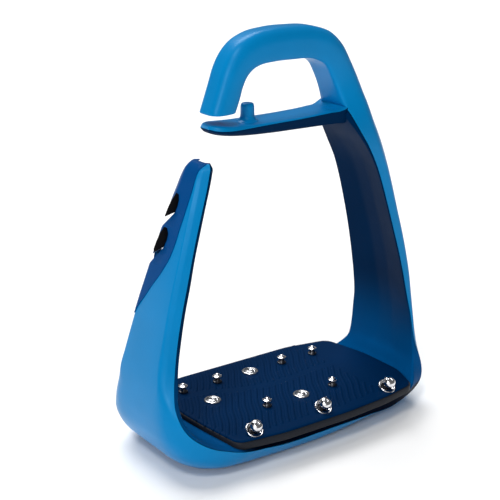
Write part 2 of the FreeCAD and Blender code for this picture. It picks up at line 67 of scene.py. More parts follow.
def make_object(name, vertices, faces, sharp_angle=40.0):
    """A mesh object from points in millimetres, smooth but for its sharp edges."""
    mesh = bpy.data.meshes.new(name)
    mesh.from_pydata([tuple(float(c) * MM for c in v) for v in vertices], [], faces)
    tidy = bmesh.new()
    tidy.from_mesh(mesh)
    bmesh.ops.remove_doubles(tidy, verts=tidy.verts, dist=0.02 * MM)
    bmesh.ops.dissolve_degenerate(tidy, edges=tidy.edges, dist=0.01 * MM)
    bmesh.ops.recalc_face_normals(tidy, faces=tidy.faces)
    tidy.to_mesh(mesh)
    tidy.free()
    mesh.shade_smooth()
    mesh.set_sharp_from_angle(angle=math.radians(sharp_angle))
    piece = bpy.data.objects.new(name, mesh)
    bpy.context.scene.collection.objects.link(piece)
    return piece


def finish_piece(piece, body, material, slot, *replaced):
    """Paints a piece, fixes it to its body and hides the CAD nodes it stands for."""
    piece.data.materials.clear()
    piece.data.materials.append(material)
    if body:
        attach(piece, body)
    if replaced:
        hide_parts(*replaced)
    return piece


def resample(rows, count, keep=0):
    """Rows of numbers along a smooth curve, read again at even steps of its length.

    Row number keep is kept exactly, and its new number is the second result.
    """
    rows = np.asarray(rows, float)
    flat = rows.reshape(len(rows), -1)
    steps = np.linalg.norm(np.diff(flat, axis=0), axis=1) + 1e-9
    at = np.concatenate([[0.0], np.cumsum(steps)])
    slope = np.diff(flat, axis=0) / steps[:, None]
    tangent = np.empty_like(flat)
    tangent[0] = slope[0]
    tangent[-1] = slope[-1]
    before = steps[:-1, None]
    after = steps[1:, None]
    tangent[1:-1] = (slope[:-1] * after + slope[1:] * before) / (before + after)
    wanted = np.linspace(0, at[-1], count)
    kept = int(np.argmin(abs(wanted - at[keep])))
    wanted[kept] = at[keep]
    index = np.clip(np.searchsorted(at, wanted) - 1, 0, len(steps) - 1)
    h = steps[index][:, None]
    t = ((wanted - at[index]) / steps[index])[:, None]
    result = (
        (2 * t**3 - 3 * t**2 + 1) * flat[index]
        + (t**3 - 2 * t**2 + t) * h * tangent[index]
        + (3 * t**2 - 2 * t**3) * flat[index + 1]
        + (t**3 - t**2) * h * tangent[index + 1]
    )
    return result.reshape((count,) + rows.shape[1:]), kept


def round_corners(corners, setbacks, steps):
    """A closed ring through the corners, each replaced by a small smooth bend."""
    ring = []
    count = len(corners)
    for index in range(count):
        here = corners[index]
        for_before = corners[index - 1] - here
        for_after = corners[(index + 1) % count] - here
        length_before = np.linalg.norm(for_before) + 1e-9
        length_after = np.linalg.norm(for_after) + 1e-9
        start = here + for_before * min(setbacks[index] / length_before, 0.48)
        end = here + for_after * min(setbacks[index] / length_after, 0.48)
        for t in np.linspace(0, 1, steps):
            ring.append((1 - t) ** 2 * start + 2 * t * (1 - t) * here + t**2 * end)
    return np.array(ring)


def shrink_ring(ring, inset, shift):
    """A ring drawn in towards its middle by a distance, and moved."""
    middle = ring.mean(axis=0)
    arms = ring - middle
    reach = np.linalg.norm(arms, axis=1).max()
    return middle + arms * (1 - inset / reach) + shift


def loft_rings(stations, setbacks, count, part=0, steps=6, round_ends=(0.0, 0.0)):
    """Rings over stations of corner points, with every corner softened.

    The second result is the number of the ring that lies on station number part.
    """
    stations = np.asarray(stations, float)
    setbacks = np.asarray(setbacks, float)
    packed = np.concatenate([stations, setbacks[:, :, None] * 0.5], axis=2)
    smooth, index = resample(packed, count, part)
    rings = [round_corners(row[:, :3], row[:, 3] * 2.0, steps) for row in smooth]
    first, last = round_ends
    if first:
        rings = round_end(rings[0], rings[1], first)[::-1] + rings
        index += END_RINGS
    if last:
        rings = rings + round_end(rings[-1], rings[-2], last)
    return rings, index


END_RINGS = 4


def round_end(rim, neighbour, size):
    """Rings that round a loft off past its end."""
    outward = rim.mean(axis=0) - neighbour.mean(axis=0)
    outward /= np.linalg.norm(outward)
    extra = []
    for turn in np.linspace(math.pi / 9, math.pi * 0.46, END_RINGS):
        inset = size * (1 - math.cos(turn))
        extra.append(shrink_ring(rim, inset, outward * size * math.sin(turn)))
    return extra


def loft(name, stations, setbacks, count, steps=6, round_ends=(0.0, 0.0)):
    """A closed skin over stations of corner points."""
    rings, _ = loft_rings(stations, setbacks, count, 0, steps, round_ends)
    return skin(name, rings)


def skin(name, rings):
    """Quads between rings of equal size, with both ends filled."""
    size = len(rings[0])
    vertices = [point for ring in rings for point in ring]
    faces = []
    for row in range(len(rings) - 1):
        for col in range(size):
            nxt = (col + 1) % size
            a, b = row * size + col, row * size + nxt
            faces.append((a, b, b + size, a + size))
    faces.append(tuple(range(size))[::-1])
    faces.append(tuple((len(rings) - 1) * size + col for col in range(size)))
    return make_object(name, vertices, faces)


def lathe(name, profile, segments=48):
    """A turned piece about its own Z axis from (radius, height) points, closed at the axis."""
    vertices = []
    faces = []
    for radius, height in profile:
        for step in range(segments):
            angle = 2 * math.pi * step / segments
            vertices.append((radius * math.cos(angle), radius * math.sin(angle), height))
    for row in range(len(profile) - 1):
        for step in range(segments):
            nxt = (step + 1) % segments
            a, b = row * segments + step, row * segments + nxt
            faces.append((a, b, b + segments, a + segments))
    faces.append(tuple(range(segments))[::-1])
    faces.append(tuple((len(profile) - 1) * segments + step for step in range(segments)))
    return make_object(name, vertices, faces, sharp_angle=50.0)


def soften(points, amount, steps=4):
    """An open (radius, height) profile with its inner corners rounded."""
    points = [np.array(p, float) for p in points]
    result = [points[0]]
    for before, here, after in zip(points, points[1:], points[2:]):
        back = before - here
        ahead = after - here
        start = here + back * min(amount / (np.linalg.norm(back) + 1e-9), 0.45)
        end = here + ahead * min(amount / (np.linalg.norm(ahead) + 1e-9), 0.45)
        for t in np.linspace(0, 1, steps):
            result.append((1 - t) ** 2 * start + 2 * t * (1 - t) * here + t**2 * end)
    result.append(points[-1])
    return result


def mirrored(front):
    """Corner points of the toe half, followed by their mirror images in reverse order."""
    return list(front) + [(x, -y, z) for x, y, z in reversed(front)]


# --------------------------------------------------------------------- materials

def mottle(nodes, links, cloud, colour, speckle):
    """A colour that drifts a little darker and lighter with a noise."""
    tone = nodes.new("ShaderNodeValToRGB")
    tone.color_ramp.elements[0].position = 0.3
    tone.color_ramp.elements[1].position = 0.75
    dark = [c * (1 - speckle * 1.6) for c in colour]
    light = [c * (1 + speckle) for c in colour]
    tone.color_ramp.elements[0].color = (*dark, 1)
    tone.color_ramp.elements[1].color = (*light, 1)
    links.new(cloud.outputs["Fac"], tone.inputs["Fac"])
    return tone


def height_bands(nodes, links, place, bands):
    """A colour that changes with height: (z, colour) from the lowest band up."""
    lowest, highest = bands[0][0], bands[-1][0]
    apart = nodes.new("ShaderNodeSeparateXYZ")
    links.new(place.outputs["Object"], apart.inputs["Vector"])
    climb = nodes.new("ShaderNodeMapRange")
    climb.inputs["From Min"].default_value = lowest * MM
    climb.inputs["From Max"].default_value = highest * MM
    links.new(apart.outputs["Z"], climb.inputs["Value"])
    ramp = nodes.new("ShaderNodeValToRGB")
    ramp.color_ramp.interpolation = "EASE"
    stops = ramp.color_ramp.elements
    stops[0].color = (*bands[0][1], 1)
    stops[1].color = (*bands[-1][1], 1)
    for z, colour in bands[1:-1]:
        stops.new((z - lowest) / (highest - lowest)).color = (*colour, 1)
    links.new(climb.outputs["Result"], ramp.inputs["Fac"])
    return ramp


def plastic(name, colour, roughness, grain=0.12, speckle=0.05, scale=900.0,
            shine=0.12, tint=(1.0, 1.0, 1.0), bands=None):
    """A moulded polymer: slightly uneven colour and gloss over a fine moulded grain.

    Where bands are given, the colour is theirs, here painted shade and painted light that change
    with height, and a noise only drifts it; the main colour is then not used.
    """
    material = bpy.data.materials.new(name)
    material.use_nodes = True
    nodes = material.node_tree.nodes
    links = material.node_tree.links
    shader = nodes["Principled BSDF"]
    place = nodes.new("ShaderNodeTexCoord")

    cloud = nodes.new("ShaderNodeTexNoise")
    cloud.inputs["Scale"].default_value = 38.0
    cloud.inputs["Detail"].default_value = 4.0
    links.new(place.outputs["Object"], cloud.inputs["Vector"])
    if bands:
        drift = mottle(nodes, links, cloud, (1.0, 1.0, 1.0), speckle)
        banded = height_bands(nodes, links, place, bands)
        blend = nodes.new("ShaderNodeMix")
        blend.data_type = "RGBA"
        blend.blend_type = "MULTIPLY"
        blend.inputs["Factor"].default_value = 1.0
        links.new(banded.outputs["Color"], blend.inputs["A"])
        links.new(drift.outputs["Color"], blend.inputs["B"])
        links.new(blend.outputs["Result"], shader.inputs["Base Color"])
    else:
        tone = mottle(nodes, links, cloud, colour, speckle)
        links.new(tone.outputs["Color"], shader.inputs["Base Color"])

    gloss = nodes.new("ShaderNodeMapRange")
    gloss.inputs["To Min"].default_value = roughness - 0.05
    gloss.inputs["To Max"].default_value = roughness + 0.07
    patches = nodes.new("ShaderNodeTexNoise")
    patches.inputs["Scale"].default_value = 120.0
    patches.inputs["Detail"].default_value = 3.0
    links.new(place.outputs["Object"], patches.inputs["Vector"])
    links.new(patches.outputs["Fac"], gloss.inputs["Value"])
    links.new(gloss.outputs["Result"], shader.inputs["Roughness"])

    pores = nodes.new("ShaderNodeTexNoise")
    pores.inputs["Scale"].default_value = scale
    pores.inputs["Detail"].default_value = 3.0
    links.new(place.outputs["Object"], pores.inputs["Vector"])
    bump = nodes.new("ShaderNodeBump")
    bump.inputs["Strength"].default_value = grain
    bump.inputs["Distance"].default_value = 0.0002
    links.new(pores.outputs["Fac"], bump.inputs["Height"])
    links.new(bump.outputs["Normal"], shader.inputs["Normal"])
    shader.inputs["Specular IOR Level"].default_value = shine
    shader.inputs["Specular Tint"].default_value = (*tint, 1)
    return material


def metal(name, colour, roughness, brushed=0.0, scale=900.0):
    """Bright metal with faint turning marks and uneven gloss."""
    material = bpy.data.materials.new(name)
    material.use_nodes = True
    nodes = material.node_tree.nodes
    links = material.node_tree.links
    shader = nodes["Principled BSDF"]
    shader.inputs["Metallic"].default_value = 1.0
    place = nodes.new("ShaderNodeTexCoord")
    stretch = nodes.new("ShaderNodeMapping")
    stretch.inputs["Scale"].default_value = (1.0, 1.0, 1.0 + 12.0 * brushed)
    links.new(place.outputs["Object"], stretch.inputs["Vector"])
    marks = nodes.new("ShaderNodeTexNoise")
    marks.inputs["Scale"].default_value = scale
    marks.inputs["Detail"].default_value = 4.0
    links.new(stretch.outputs["Vector"], marks.inputs["Vector"])
    tone = nodes.new("ShaderNodeValToRGB")
    tone.color_ramp.elements[0].color = (*[c * 0.86 for c in colour], 1)
    tone.color_ramp.elements[1].color = (*colour, 1)
    links.new(marks.outputs["Fac"], tone.inputs["Fac"])
    links.new(tone.outputs["Color"], shader.inputs["Base Color"])
    gloss = nodes.new("ShaderNodeMapRange")
    gloss.inputs["To Min"].default_value = roughness * 0.7
    gloss.inputs["To Max"].default_value = roughness * 1.4
    links.new(marks.outputs["Fac"], gloss.inputs["Value"])
    links.new(gloss.outputs["Result"], shader.inputs["Roughness"])
    bump = nodes.new("ShaderNodeBump")
    bump.inputs["Strength"].default_value = 0.03 + 0.1 * brushed
    bump.inputs["Distance"].default_value = 0.00003
    links.new(marks.outputs["Fac"], bump.inputs["Height"])
    links.new(bump.outputs["Normal"], shader.inputs["Normal"])
    return material


LIGHT = (0.0, 0.190, 0.460)
DARK = (0.0, 0.015, 0.055)
# The next two are not colours of the navy itself: painted light for its foot and cove, and
# painted shade for the gap under the tread plate.
FOOT_PAINTED_LIGHT = (0.0, 0.066, 0.215)
SHADE = (0.0, 0.002, 0.010)
BLUE_SHEEN = (0.35, 0.70, 1.0)
DARK_SHEEN = (0.0, 0.25, 0.80)
LIGHT_BLUE = plastic("light_blue_polymer", LIGHT, 0.30, grain=0.10, shine=0.22, tint=BLUE_SHEEN)
DEEP_BLUE = plastic("deep_blue_polymer", (0.0, 0.052, 0.198), 0.38, shine=0.08, tint=DARK_SHEEN)
# The navy is banded by height: painted shade just under the tread plate, painted light over the
# foot and cove, then its own dark navy from 58 mm up.
NAVY = plastic("navy_soft_polymer", DARK, 0.46, grain=0.16, shine=0.03, tint=DARK_SHEEN,
               bands=((9.2, SHADE), (11.0, FOOT_PAINTED_LIGHT), (18.0, FOOT_PAINTED_LIGHT), (58.0, DARK), (125.0, DARK)))
GRIP_NAVY = plastic("navy_grip_rubber", (0.0, 0.0155, 0.060), 0.50, grain=0.30, scale=1400.0,
                    shine=0.03, tint=DARK_SHEEN)
GREY = plastic("glass_filled_grey_polymer", (0.014, 0.016, 0.022), 0.5, grain=0.35,
               scale=1600.0)
# A plain near-black for the gill lenses.
GILL_BLACK = plastic("black_rubber", (0.0008, 0.0008, 0.002), 0.6, grain=0.3,
                       scale=1200.0, shine=0.03)
POLISHED = metal("polished_steel", (0.86, 0.86, 0.88), 0.10)
STAINLESS = metal("stainless_steel", (0.80, 0.80, 0.82), 0.18, brushed=0.3)
# Painted shade: a dark steel laid on the stud necks and washer cups where the heads shade them.
STUD_SHADE_PAINT = metal("painted_stud_shade", (0.10, 0.10, 0.11), 0.30)
BRASS = metal("turned_brass", (0.72, 0.50, 0.20), 0.28, brushed=0.4)
SPRING_STEEL = metal("rolled_spring_steel", (0.52, 0.53, 0.56), 0.30, brushed=1.0)


# ------------------------------------------------------------------- light body

# Stations of the light body from the outer foot's seam, along the base, up the main
# branch and round the eye.  Each holds x, z of the outer face with its half width, then
# x, z, half depth of the front facet's outer edge and of its inner edge, the softening
# of those three edges, the heel side's share of the toe side's depth, and how far the
# inner face is hollowed for the liner.
BODY_ROWS = (
    (-67.9, 30.15, 15.4, -66.0, 30.15, 19.2, -63.6, 30.15, 21.4, 4.5, 3.0, 0.4, 1.0, 0.6),
    (-68.3, 22.0, 16.6, -66.4, 22.2, 21.4, -62.3, 22.6, 26.4, 6.0, 5.0, 0.4, 1.0, 0.6),
    (-67.7, 15.8, 17.6, -65.0, 16.2, 24.8, -58.6, 18.4, 29.6, 7.0, 6.0, 0.4, 1.0, 0.6),
    (-65.6, 10.4, 18.2, -61.8, 11.6, 27.2, -53.0, 14.9, 31.8, 7.0, 6.0, 0.4, 1.0, 0.6),
    (-61.8, 6.0, 19.0, -57.2, 8.0, 29.0, -47.0, 12.6, 32.9, 7.0, 6.0, 0.4, 1.0, 0.6),
    (-56.8, 2.8, 20.0, -51.8, 5.6, 29.9, -40.5, 10.4, 33.3, 5.0, 5.0, 0.4, 1.0, 0.6),
    (-50.0, 0.8, 21.6, -45.6, 3.8, 29.9, -34.5, 9.2, 33.3, 4.0, 4.0, 0.4, 1.0, 0.6),
    (-42.0, 0.05, 23.2, -38.0, 3.2, 29.7, -28.0, 8.3, 32.8, 3.0, 3.0, 0.4, 1.0, 0.6),
    (-30.0, 0.0, 24.8, -27.0, 2.8, 29.6, -20.0, 7.1, 32.4, 3.0, 3.0, 0.4, 1.0, 0.6),
    (-15.0, 0.0, 26.0, -14.0, 2.5, 29.5, -10.0, 6.5, 31.9, 3.0, 3.0, 0.4, 1.0, 0.6),
    (0.0, 0.0, 26.2, 0.0, 2.5, 29.4, 0.0, 6.4, 31.6, 3.0, 3.0, 0.4, 1.0, 0.6),
    (15.0, 0.0, 25.0, 14.5, 2.7, 28.9, 14.0, 6.2, 31.1, 3.0, 3.0, 0.4, 1.0, 0.6),
    (30.0, 0.0, 22.0, 29.5, 3.6, 27.9, 29.0, 5.6, 30.0, 3.0, 3.0, 0.4, 1.0, 0.6),
    (42.0, 0.05, 19.5, 42.5, 4.5, 26.2, 43.5, 5.0, 28.6, 3.0, 3.0, 0.4, 1.0, 0.6),
    (50.0, 0.8, 18.5, 51.2, 5.6, 24.4, 53.5, 6.2, 26.6, 3.0, 3.0, 0.4, 1.0, 0.6),
    (56.8, 2.8, 18.4, 58.3, 6.8, 22.6, 60.6, 7.6, 24.6, 3.0, 3.0, 0.4, 1.0, 0.6),
    (61.8, 6.0, 17.4, 63.0, 8.8, 21.2, 64.6, 9.6, 23.4, 3.0, 3.0, 0.4, 1.0, 0.6),
    (65.6, 10.4, 16.4, 66.0, 11.8, 20.2, 66.6, 12.4, 22.5, 3.0, 3.0, 0.4, 1.0, 0.6),
    (67.7, 15.8, 15.8, 67.3, 15.9, 19.4, 66.7, 16.2, 22.0, 3.0, 3.0, 0.4, 1.0, 0.6),
    (68.3, 22.5, 14.6, 66.9, 22.5, 18.8, 64.9, 22.5, 21.6, 2.5, 2.5, 0.4, 1.0, 0.6),
    (68.2, 29.0, 13.4, 64.6, 28.6, 19.8, 62.8, 28.4, 21.0, 2.0, 1.5, 0.4, 1.0, 0.6),
    (68.0, 35.0, 12.7, 63.0, 34.4, 20.1, 61.7, 34.2, 20.2, 1.6, 1.2, 0.4, 1.0, 0.6),
    (67.4, 41.5, 12.3, 62.7, 40.8, 19.2, 61.2, 40.4, 19.3, 1.5, 1.0, 0.4, 1.0, 0.6),
    (66.4, 51.0, 12.0, 62.1, 50.4, 18.0, 59.5, 50.0, 18.1, 1.5, 1.0, 0.4, 1.0, 0.6),
    (64.8, 61.0, 11.8, 60.9, 60.4, 17.4, 57.5, 60.0, 17.4, 1.5, 1.0, 0.4, 1.0, 0.6),
    (62.6, 71.0, 11.6, 59.2, 70.4, 16.6, 55.2, 70.0, 16.7, 1.5, 1.0, 0.4, 1.0, 0.6),
    (60.2, 81.0, 11.3, 57.0, 80.4, 15.8, 52.5, 80.0, 15.9, 1.5, 1.0, 0.4, 1.0, 0.6),
    (57.5, 91.0, 11.0, 54.2, 90.5, 15.2, 49.6, 90.0, 15.3, 1.5, 1.0, 0.4, 1.0, 0.6),
    (54.6, 101.0, 10.8, 51.4, 100.6, 14.8, 46.5, 100.0, 14.8, 1.6, 1.2, 0.4, 1.0, 0.6),
    (51.4, 111.5, 10.4, 48.2, 110.8, 14.4, 42.9, 110.0, 14.4, 1.8, 1.4, 0.4, 1.0, 0.6),
    (48.0, 121.5, 9.8, 44.6, 120.6, 13.8, 38.0, 119.4, 14.3, 2.2, 2.0, 0.5, 0.97, 0.6),
    (44.6, 131.0, 8.4, 41.2, 129.9, 12.2, 33.1, 127.6, 13.2, 2.8, 2.6, 0.6, 0.9, 0.5),
    (43.0, 136.6, 7.2, 39.4, 135.5, 10.7, 30.6, 132.6, 11.6, 3.2, 3.0, 0.8, 0.84, 0.3),
    (41.0, 142.0, 6.0, 37.6, 140.8, 9.0, 28.7, 137.2, 9.4, 3.4, 3.2, 1.4, 0.8, 0.0),
    (38.8, 147.8, 5.0, 35.6, 146.4, 7.8, 26.5, 143.4, 7.8, 3.6, 3.4, 3.2, 0.92, 0.0),
    (35.2, 155.0, 4.4, 32.2, 153.6, 7.1, 23.5, 149.8, 7.0, 3.6, 3.4, 3.8, 1.0, 0.0),
    (30.9, 161.9, 4.2, 28.3, 159.8, 7.0, 20.6, 154.4, 7.0, 3.6, 3.4, 3.8, 1.0, 0.0),
    (24.8, 167.2, 4.2, 23.0, 164.6, 7.0, 16.4, 156.8, 7.0, 3.6, 3.4, 3.8, 1.0, 0.0),
    (16.0, 170.2, 4.2, 15.2, 167.2, 7.0, 11.8, 158.0, 7.0, 3.6, 3.4, 3.8, 1.0, 0.0),
    (5.0, 171.1, 4.2, 4.9, 168.1, 7.0, 4.6, 158.3, 7.0, 3.6, 3.4, 3.8, 1.0, 0.0),
    (-6.0, 170.9, 4.2, -5.8, 167.9, 7.0, -5.3, 158.3, 7.0, 3.6, 3.4, 3.8, 1.0, 0.0),
    (-14.0, 169.7, 4.2, -13.2, 166.8, 7.0, -11.6, 157.7, 7.0, 3.6, 3.4, 3.8, 1.0, 0.0),
    (-20.6, 166.8, 4.2, -19.0, 164.3, 7.0, -15.6, 156.2, 7.0, 3.6, 3.4, 3.8, 1.0, 0.0),
    (-24.8, 162.8, 4.2, -22.8, 160.8, 7.0, -18.5, 153.6, 7.0, 3.6, 3.4, 3.8, 1.0, 0.0),
    (-27.9, 157.6, 4.2, -25.6, 156.4, 7.0, -20.5, 149.9, 7.0, 3.6, 3.4, 3.8, 1.0, 0.0),
    (-30.4, 151.0, 4.2, -27.9, 150.0, 7.0, -21.8, 146.0, 7.0, 3.6, 3.4, 3.8, 1.0, 0.0),
    (-34.3, 140.5, 4.2, -31.5, 140.4, 7.0, -23.9, 140.7, 7.0, 3.6, 3.4, 3.4, 1.0, 0.0),
)

# Stations up the flexible branch: z, x of the outer face, half width of that face at the
# toe and heel sides, x and half depth of the facet's edge and of the light body's edge,
# and x and half depth of the dark liner's inner edge.  Heights from 44.5 to 106.8 and the
# light body's edge there were read off the photo through a fitted camera.
BRANCH_ROWS = (
    (37.0, -67.0, 13.8, 15.8, -65.4, 15.9, -62.3, 18.5, -60.2, 18.0),
    (44.5, -65.3, 12.1, 14.8, -63.4, 14.3, -60.1, 16.0, -58.5, 15.9),
    (55.0, -62.6, 11.3, 13.3, -60.8, 13.0, -57.8, 14.7, -56.1, 14.6),
    (66.0, -59.7, 10.6, 11.6, -57.9, 12.2, -55.0, 13.8, -53.4, 13.7),
    (77.0, -56.5, 10.0, 9.7, -54.7, 11.6, -51.7, 12.9, -50.1, 12.8),
    (86.8, -53.4, 9.5, 8.3, -51.7, 11.0, -48.9, 12.2, -47.5, 12.1),
    (95.7, -50.5, 8.8, 7.0, -48.8, 10.4, -46.3, 11.7, -44.8, 11.6),
    (106.8, -46.9, 7.9, 4.4, -45.3, 9.5, -42.6, 10.9, -41.2, 10.7),
    (113.5, -44.4, 7.1, 2.8, -42.9, 8.6, -40.2, 10.1, -38.7, 9.8),
    (118.0, -42.6, 6.3, 2.4, -41.3, 7.7, -38.6, 9.3, -37.0, 8.9),
    (120.4, -41.2, 5.5, 2.2, -40.1, 6.9, -37.7, 8.7, -36.2, 8.2),
    (121.7, -39.8, 4.2, 1.6, -39.0, 5.6, -37.3, 7.6, -36.4, 7.2),
)
# How far the light body is hollowed for the liner, as a share of the way to its outer face.
LINER_RECESS = 0.6
# The heel side's share of the toe side's depth near the tip, and the heights it is read at.
TAPER_HEIGHTS = (84.0, 113.5, 118.0, 120.4, 121.7)
TAPER_SHARES = (1.0, 0.87, 0.79, 0.62, 0.46)


def heel_share(z):
    """The heel side of the branch narrows towards its tip, faster and faster."""
    return float(np.interp(z, TAPER_HEIGHTS, TAPER_SHARES))


def branch_softening(z):
    """The branch's front edges are crisp at the tip and melt into the foot."""
    melt = float(np.interp(z, (40.0, 78.0), (1.0, 0.0)))
    return 0.45 + 0.85 * melt, 0.35 + 0.65 * melt, 0.4


def light_ring(outer, facet, seam, hollow):
    """The ten corners of the light body: toe side outside to inside, then back."""
    ox, oz, toe_o, heel_o = outer
    cx, cz, toe_c, heel_c = facet
    bx, bz, toe_b, heel_b = seam
    outward = Vector((ox - bx, 0, oz - bz))
    crown = outward.normalized() * 0.15 * min(1.0, max(0.0, (oz - 20.0) / 30.0))
    mx, mz = ox + crown.x, oz + crown.z
    vx, vz = bx + outward.x * hollow, bz + outward.z * hollow
    return [
        (mx, -toe_o * 0.3, mz),
        (ox, -toe_o, oz),
        (cx, -toe_c, cz),
        (bx, -toe_b, bz),
        (vx, -toe_b * 0.6, vz),
        (vx, heel_b * 0.6, vz),
        (bx, heel_b, bz),
        (cx, heel_c, cz),
        (ox, heel_o, oz),
        (mx, heel_o * 0.3, mz),
    ]


def light_setbacks(half_width, softening):
    front = [half_width * 0.2, *softening, 0.3]
    return front + front[::-1]


def body_ring(row):
    ox, oz, yo, cx, cz, yc, bx, bz, yb, _, _, _, heel, hollow = row
    return light_ring(
        (ox, oz, yo, yo), (cx, cz, yc, yc * heel), (bx, bz, yb, yb * heel), hollow)


def facet_heel(heel, seam, z):
    """How far the facet's edge lies towards the heel."""
    return heel + (seam * heel_share(z) - heel) * 0.45


def branch_ring(row):
    z, ox, toe, heel, cx, yc, bx, yb = row[:8]
    return light_ring(
        (ox, z, toe, heel), (cx, z, yc, facet_heel(heel, yb, z)),
        (bx, z, yb, yb * heel_share(z)), LINER_RECESS)


def build_light_body():
    """One skin from the branch's tip to the eye's end, parted at the branch's root."""
    stations = [branch_ring(row) for row in reversed(BRANCH_ROWS)]
    stations += [body_ring(row) for row in BODY_ROWS]
    setbacks = [
        light_setbacks(row[2], branch_softening(row[0])) for row in reversed(BRANCH_ROWS)
    ]
    setbacks += [light_setbacks(row[2], row[9:12]) for row in BODY_ROWS]
    rings, part = loft_rings(stations, setbacks, 480, len(BRANCH_ROWS), round_ends=(0.4, 0.7))
    body = skin("body_shell_skin", rings[part:])
    finish_piece(body, FRAME_BODY, LIGHT_BLUE, "light_blue_shell", "body_shell")
    branch = skin("outer_branch_skin", rings[:part + 1])
    cut_notches(branch)
    finish_piece(branch, None, LIGHT_BLUE, "light_blue_branch", "outer_branch")
    blend_root(branch)


# ------------------------------------------------------------------------- liner

# Stations of the dark liner: x, z, half depth of its outer edge (on the light body), of
# its inner edge and of the valley along its inner face, the softening of the last two,
# and the heel side's share of the toe side's depth.
LINER_ROWS = (
    (-63.5, 30.15, 21.3, -61.3, 30.15, 20.4, -60.2, 30.15, 9.0, 0.8, 4.0, 1.0),
    (-62.2, 22.6, 26.3, -60.4, 23.0, 25.0, -58.6, 23.0, 10.0, 1.2, 4.0, 1.0),
    (-58.5, 18.5, 29.5, -57.0, 18.4, 28.2, -54.8, 16.8, 12.0, 1.6, 4.0, 1.0),
    (-52.9, 15.0, 31.7, -52.0, 14.5, 30.4, -49.0, 12.0, 16.0, 1.8, 4.0, 1.0),
    (-46.9, 12.7, 32.8, -46.6, 11.9, 31.4, -45.0, 10.2, 24.0, 1.8, 4.0, 1.0),
    (-40.4, 10.5, 33.2, -40.4, 9.9, 31.0, -41.0, 9.9, 26.0, 0.8, 4.0, 1.0),
    (-34.4, 9.3, 33.2, -34.5, 9.9, 30.4, -35.0, 9.9, 26.0, 0.6, 4.0, 1.0),
    (-28.0, 8.4, 32.7, -28.5, 9.9, 30.0, -29.0, 9.9, 26.0, 0.6, 4.0, 1.0),
    (-10.0, 6.6, 31.8, -10.0, 9.9, 29.6, -10.0, 9.9, 26.0, 0.6, 4.0, 1.0),
    (14.0, 6.3, 31.0, 14.0, 9.9, 29.4, 14.0, 9.9, 26.0, 0.6, 4.0, 1.0),
    (29.0, 5.7, 29.9, 29.0, 9.9, 29.0, 29.0, 9.9, 25.0, 0.6, 4.0, 1.0),
    (43.5, 5.1, 28.5, 42.0, 9.9, 28.8, 40.0, 9.9, 23.0, 0.6, 4.0, 1.0),
    (53.5, 6.3, 26.5, 49.5, 9.9, 29.2, 47.0, 9.9, 20.0, 0.8, 4.0, 1.0),
    (60.5, 7.7, 24.5, 55.0, 11.0, 28.2, 53.0, 10.0, 18.0, 1.0, 4.0, 1.0),
    (64.5, 9.7, 23.3, 57.6, 13.4, 26.4, 57.0, 11.0, 15.0, 1.2, 3.0, 1.0),
    (66.5, 12.5, 22.4, 59.0, 15.6, 24.4, 59.6, 14.0, 12.0, 1.2, 2.0, 1.0),
    (66.6, 16.3, 21.9, 60.4, 18.2, 22.6, 61.2, 18.0, 10.0, 1.0, 1.5, 1.0),
    (65.3, 21.0, 21.6, 61.0, 21.4, 21.8, 62.6, 21.0, 7.0, 0.8, 1.5, 1.0),
    (62.9, 27.0, 21.1, 61.2, 26.8, 21.0, 63.4, 26.0, 4.8, 0.7, 1.5, 1.0),
    (61.8, 34.2, 20.2, 61.1, 34.2, 20.1, 63.7, 34.0, 4.2, 0.6, 1.5, 1.0),
    (61.3, 40.4, 19.2, 60.7, 40.4, 19.1, 63.4, 40.6, 4.0, 0.6, 1.5, 1.0),
    (59.6, 50.0, 18.0, 59.0, 50.0, 17.9, 61.8, 50.4, 4.0, 0.6, 1.5, 1.0),
    (57.6, 60.0, 17.3, 57.0, 60.0, 17.2, 59.9, 60.4, 4.0, 0.6, 1.5, 1.0),
    (55.3, 70.0, 16.6, 54.7, 70.0, 16.5, 57.5, 70.5, 4.0, 0.6, 1.5, 1.0),
    (52.6, 80.0, 15.8, 52.0, 80.0, 15.7, 54.8, 80.6, 4.0, 0.6, 1.5, 1.0),
    (49.7, 90.0, 15.2, 49.1, 90.0, 15.1, 51.7, 90.6, 4.0, 0.6, 1.5, 1.0),
    (46.6, 100.0, 14.7, 46.0, 100.0, 14.6, 48.3, 100.6, 4.0, 0.6, 1.5, 1.0),
    (43.0, 110.0, 14.3, 42.4, 109.8, 14.2, 44.2, 110.6, 4.0, 0.6, 2.0, 1.0),
    (38.1, 119.4, 14.2, 37.4, 119.0, 13.9, 38.4, 119.6, 4.0, 0.7, 2.5, 0.97),
    (33.2, 127.6, 13.1, 32.3, 126.8, 12.6, 32.4, 126.8, 4.0, 0.8, 3.0, 0.9),
    (30.7, 132.6, 11.5, 29.4, 131.2, 11.0, 29.4, 131.0, 4.0, 1.0, 3.0, 0.84),
    (29.4, 135.2, 10.2, 28.4, 133.4, 9.9, 28.6, 132.8, 4.0, 1.0, 3.0, 0.8),
)
BRANCH_VALLEY = 0.9
BRANCH_VALLEY_HALF = 4.0
LINER_THICKNESS = 1.2


def liner_ring(row):
    bx, bz, yb, ix, iz, yi, vx, vz, yv, _, _, heel = row
    outward = Vector((bx - ix, 0, bz - iz)).normalized() * LINER_THICKNESS
    wx, wz = vx + outward.x, vz + outward.z
    heel_v = min(yv, yi * heel * 0.7)
    return [
        (bx, -yb, bz),
        (ix, -yi, iz),
        (vx, -yv, vz),
        (vx, heel_v, vz),
        (ix, yi * heel, iz),
        (bx, yb * heel, bz),
        (wx, heel_v, wz),
        (wx, -yv, wz),
    ]


def branch_liner_row(row):
    z, bx, yb, ix, yi = row[0], row[6], row[7], row[8], row[9]
    valley = ix - BRANCH_VALLEY
    return (bx + 0.1, z, yb - 0.1, ix, z, yi, valley, z, BRANCH_VALLEY_HALF, 0.6, 1.6,
            heel_share(z))


